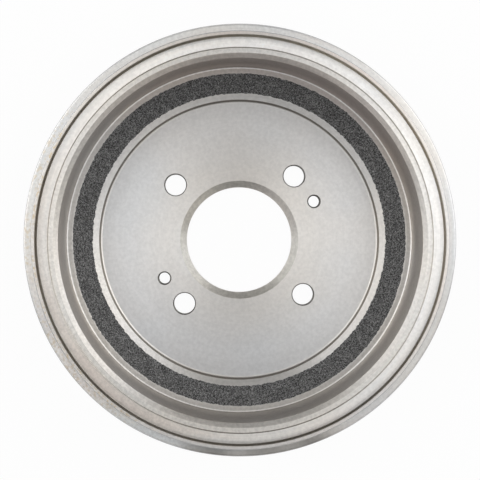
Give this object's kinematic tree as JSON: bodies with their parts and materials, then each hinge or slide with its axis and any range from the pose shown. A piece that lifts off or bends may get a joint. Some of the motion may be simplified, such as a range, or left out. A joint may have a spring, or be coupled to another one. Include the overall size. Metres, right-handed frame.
{
  "type": "brake drum",
  "caption": "Cast-iron rear brake drum with a turned braking surface, stepped dust rim, flat hub plate, stud holes and tapped jacking holes.",
  "frame": {"origin": "centre of the hub bore on the turned wheel face, at the bottom of the drum", "axes": "+Z along the drum's axis, from the wheel face towards the open side; stud holes lie at 45 degrees to X and Y"},
  "size_m": [0.2444, 0.2444, 0.06],
  "materials": {
    "drum_iron": "fine-turned bare grey iron on the working faces, dark rough as-cast skin elsewhere"
  },
  "bodies": {
    "root": {"brake_drum": "drum_iron"}
  },
  "joints": []
}
